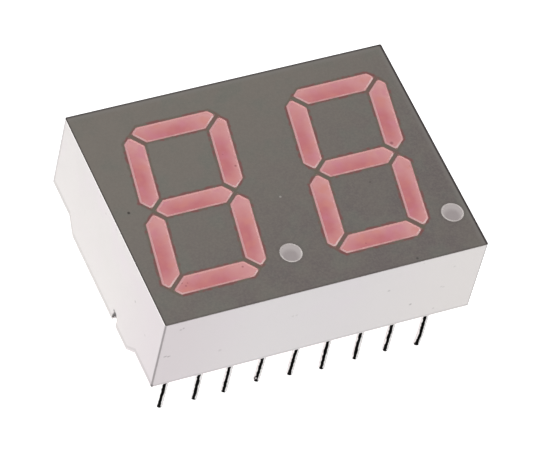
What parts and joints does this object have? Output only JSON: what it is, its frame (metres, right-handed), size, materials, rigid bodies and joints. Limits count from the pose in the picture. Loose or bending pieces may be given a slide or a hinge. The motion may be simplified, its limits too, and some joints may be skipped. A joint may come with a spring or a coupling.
{
  "type": "seven segment display",
  "caption": "Seven segment display: white moulded housing, grey face, slanted red-tinted bars with decimal points, and round pins in two rows.",
  "frame": {"origin": "Middle of the 18-pin pattern, on the plane that the end-wall feet stand on, which is the circuit board's surface when it is fitted.", "axes": "+X along the reading direction, +Y up the digits, +Z out of the face"},
  "size_m": [0.025, 0.019, 0.0135],
  "materials": {
    "white_plastic": "satin",
    "grey_ink": "matte",
    "red_resin": "satin",
    "clear_resin": "satin",
    "sealing_resin": "gloss",
    "board": "matte",
    "copper": "satin",
    "solder": "satin",
    "gold_wire": "polished",
    "die": "satin",
    "pin_metal": "satin"
  },
  "bodies": {
    "root": {"reflector_housing": "white_plastic", "face_ink": "grey_ink", "circuit_board": "board", "copper_tracks": "copper", "solder_joints": "solder", "bond_wires": "gold_wire", "sealing_resin": "sealing_resin", "tens_segment_a": "red_resin", "tens_segment_b": "red_resin", "tens_segment_c": "red_resin", "tens_segment_d": "red_resin", "tens_segment_e": "red_resin", "tens_segment_f": "red_resin", "tens_segment_g": "red_resin", "tens_point": "clear_resin", "units_segment_a": "red_resin", "units_segment_b": "red_resin", "units_segment_c": "red_resin", "units_segment_d": "red_resin", "units_segment_e": "red_resin", "units_segment_f": "red_resin", "units_segment_g": "red_resin", "units_point": "clear_resin", "tens_die_a": "die", "tens_die_b": "die", "tens_die_c": "die", "tens_die_d": "die", "tens_die_e": "die", "tens_die_f": "die", "tens_die_g": "die", "tens_die_point": "die", "units_die_a": "die", "units_die_b": "die", "units_die_c": "die", "units_die_d": "die", "units_die_e": "die", "units_die_f": "die", "units_die_g": "die", "units_die_point": "die", "pin_1": "pin_metal", "pin_2": "pin_metal", "pin_3": "pin_metal", "pin_4": "pin_metal", "pin_5": "pin_metal", "pin_6": "pin_metal", "pin_7": "pin_metal", "pin_8": "pin_metal", "pin_9": "pin_metal", "pin_10": "pin_metal", "pin_11": "pin_metal", "pin_12": "pin_metal", "pin_13": "pin_metal", "pin_14": "pin_metal", "pin_15": "pin_metal", "pin_16": "pin_metal", "pin_17": "pin_metal", "pin_18": "pin_metal"}
  },
  "joints": []
}
